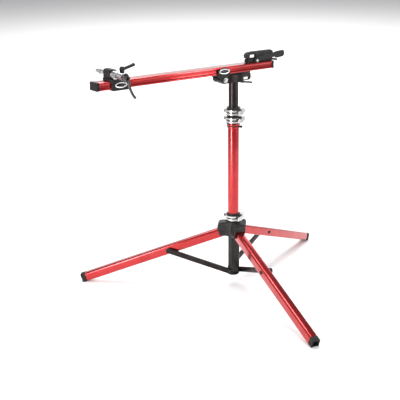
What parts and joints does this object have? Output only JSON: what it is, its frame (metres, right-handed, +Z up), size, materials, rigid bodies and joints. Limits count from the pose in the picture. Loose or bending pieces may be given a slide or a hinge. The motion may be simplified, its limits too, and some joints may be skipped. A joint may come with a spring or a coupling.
{
  "type": "bicycle repair stand",
  "caption": "Folding tripod stand with a turning rail that clamps a bicycle by its fork ends and cradles its bottom bracket.",
  "frame": {"origin": "on the floor, under the middle of the bounding box of the opened stand", "axes": "+Z up; the rail lies along X with its fork end towards -X; the fork axle lies along Y, its lever towards -Y"},
  "size_m": [1.0968, 0.9502, 0.869],
  "materials": {
    "red_anodised": "gloss red anodised",
    "black_casting": "satin dark grey paint on a casting",
    "black_moulding": "fine-grained black moulding",
    "black_alloy": "satin black anodised",
    "bush_plastic": "plain black plastic",
    "knob_plastic": "satin black plastic",
    "bright_alloy": "bright satin alloy",
    "axle_metal": "turned bright alloy",
    "bright_steel": "zinc plated steel",
    "dark_steel": "black oxide on steel",
    "foot_rubber": "matt black rubber",
    "pad_rubber": "matt dark grey rubber",
    "badge_plate": "silver rim round a dark plain field"
  },
  "bodies": {
    "mast": {"lower_post": "black_casting", "post_cap": "black_moulding", "mast_tube": "red_anodised", "bearing_ring": "red_anodised", "strut_screw_a": "dark_steel", "strut_screw_b": "dark_steel", "strut_screw_c": "dark_steel", "turn_clamp": "bright_alloy", "turn_clamp_bolt": "bright_steel"},
    "index_knob": {"index_knob": "knob_plastic"},
    "turn_lever": {"turn_lever": "bright_alloy"},
    "turntable": {"turning_sleeve": "bright_alloy", "sleeve_bush": "bush_plastic", "height_clamp": "bright_alloy", "height_clamp_bolt": "bright_steel"},
    "height_lever": {"height_lever": "bright_alloy"},
    "column": {"upper_tube": "black_alloy", "mast_head": "black_alloy", "hinge_bolt": "bright_steel"},
    "latch_lever": {"latch_lever": "black_alloy"},
    "beam": {"rail_saddle": "black_moulding", "saddle_badge": "badge_plate", "rail": "red_anodised", "fork_end_cap": "black_moulding", "cradle_end_cap": "black_moulding", "cradle_base": "black_moulding", "cradle_pad": "pad_rubber", "strap_screw": "bright_steel"},
    "cradle_strap": {"cradle_strap": "pad_rubber"},
    "carriage": {"fork_carriage": "black_moulding", "carriage_badge": "badge_plate", "axle_block": "black_moulding", "fork_axle": "axle_metal", "axle_flange": "axle_metal", "fork_skewer": "bright_steel", "skewer_sleeve": "axle_metal", "skewer_nut": "axle_metal", "clamp_stud": "bright_steel"},
    "fork_lever": {"fork_lever": "knob_plastic"},
    "clamp_handle": {"clamp_handle": "knob_plastic"},
    "hub": {"leg_hub": "black_casting", "hub_bush": "bush_plastic", "hub_clamp": "bright_alloy", "hub_clamp_bolt": "bright_steel", "leg_pin_a": "dark_steel", "leg_pin_b": "dark_steel", "leg_pin_c": "dark_steel"},
    "hub_lever": {"hub_lever": "bright_alloy"},
    "leg_a": {"leg_a": "red_anodised", "foot_a": "foot_rubber", "strut_pin_a": "dark_steel"},
    "strut_a": {"strut_a": "black_alloy"},
    "leg_b": {"leg_b": "red_anodised", "foot_b": "foot_rubber", "strut_pin_b": "dark_steel"},
    "strut_b": {"strut_b": "black_alloy"},
    "leg_c": {"leg_c": "red_anodised", "foot_c": "foot_rubber", "strut_pin_c": "dark_steel"},
    "strut_c": {"strut_c": "black_alloy"}
  },
  "joints": [
    {"name": "hub_slide", "type": "slide", "parent": "mast", "child": "hub", "axis": [0, 0, 1], "range_m": [0, 0.2987]},
    {"name": "turntable_turn", "type": "hinge", "parent": "mast", "child": "turntable", "pos_m": [0.00287, 0.09436, 0.6158], "axis": [0, 0, 1], "continuous": true},
    {"name": "height_slide", "type": "slide", "parent": "turntable", "child": "column", "axis": [0, 0, 1], "range_m": [-0.08, 0.245]},
    {"name": "rail_tilt", "type": "hinge", "parent": "column", "child": "beam", "pos_m": [-0.05312, 0.09436, 0.778], "axis": [0, -1, 0], "range_deg": [0, 90]},
    {"name": "latch_swing", "type": "hinge", "parent": "column", "child": "latch_lever", "pos_m": [0.03687, 0.09436, 0.7595], "axis": [0, 1, 0], "range_deg": [0, 40]},
    {"name": "carriage_slide", "type": "slide", "parent": "beam", "child": "carriage", "axis": [1, 0, 0], "range_m": [-0.015, 0.3]},
    {"name": "fork_lever_swing", "type": "hinge", "parent": "carriage", "child": "fork_lever", "pos_m": [-0.48612, -0.00104, 0.8441], "axis": [-0.891, 0, -0.454], "range_deg": [0, 150]},
    {"name": "clamp_handle_turn", "type": "hinge", "parent": "carriage", "child": "clamp_handle", "pos_m": [-0.44212, 0.09436, 0.8415], "axis": [0, 0, 1], "range_deg": [-90, 90]},
    {"name": "strap_swing", "type": "hinge", "parent": "beam", "child": "cradle_strap", "pos_m": [0.09488, 0.08406, 0.8303], "axis": [0, -1, 0], "range_deg": [0, 66]},
    {"name": "knob_pull", "type": "slide", "parent": "mast", "child": "index_knob", "axis": [0.7986, -0.6018, 0], "range_m": [0, 0.005], "stiffness_N_per_m": 400, "springref_m": -0.002},
    {"name": "turn_lever_swing", "type": "hinge", "parent": "mast", "child": "turn_lever", "pos_m": [0.04432, 0.09918, 0.6283], "axis": [0, 0, -1], "range_deg": [-150, 0]},
    {"name": "height_lever_swing", "type": "hinge", "parent": "turntable", "child": "height_lever", "pos_m": [0.04432, 0.09918, 0.6566], "axis": [0, 0, -1], "range_deg": [-150, 0]},
    {"name": "hub_lever_swing", "type": "hinge", "parent": "hub", "child": "hub_lever", "pos_m": [0.04432, 0.09918, 0.2658], "axis": [0, 0, -1], "range_deg": [-150, 0]},
    {"name": "leg_a_fold", "type": "hinge", "parent": "hub", "child": "leg_a", "pos_m": [0.04046, 0.10804, 0.21], "axis": [-0.342, 0.9397, 0], "range_deg": [0, 70.1]},
    {"name": "strut_a_fold", "type": "hinge", "parent": "mast", "child": "strut_a", "pos_m": [0.01415, 0.09846, 0.061], "axis": [0.342, -0.9397, 0], "range_deg": [0, 65]},
    {"name": "leg_b_fold", "type": "hinge", "parent": "hub", "child": "leg_b", "pos_m": [-0.02777, 0.12007, 0.21], "axis": [-0.6428, -0.766, 0], "range_deg": [0, 70.1]},
    {"name": "strut_b_fold", "type": "hinge", "parent": "mast", "child": "strut_b", "pos_m": [-0.00632, 0.10207, 0.061], "axis": [0.6428, 0.766, 0], "range_deg": [0, 65]},
    {"name": "leg_c_fold", "type": "hinge", "parent": "hub", "child": "leg_c", "pos_m": [-0.00407, 0.05497, 0.21], "axis": [0.9848, -0.1736, 0], "range_deg": [0, 70.1]},
    {"name": "strut_c_fold", "type": "hinge", "parent": "mast", "child": "strut_c", "pos_m": [0.00079, 0.08254, 0.061], "axis": [-0.9848, 0.1736, 0], "range_deg": [0, 65]}
  ],
  "couplings": [
    {"joint": "leg_a_fold", "follows": "hub_slide", "rad_per_m": 4.0756},
    {"joint": "strut_a_fold", "follows": "hub_slide", "rad_per_m": 3.7788},
    {"joint": "leg_b_fold", "follows": "hub_slide", "rad_per_m": 4.0756},
    {"joint": "strut_b_fold", "follows": "hub_slide", "rad_per_m": 3.7788},
    {"joint": "leg_c_fold", "follows": "hub_slide", "rad_per_m": 4.0756},
    {"joint": "strut_c_fold", "follows": "hub_slide", "rad_per_m": 3.7788}
  ]
}
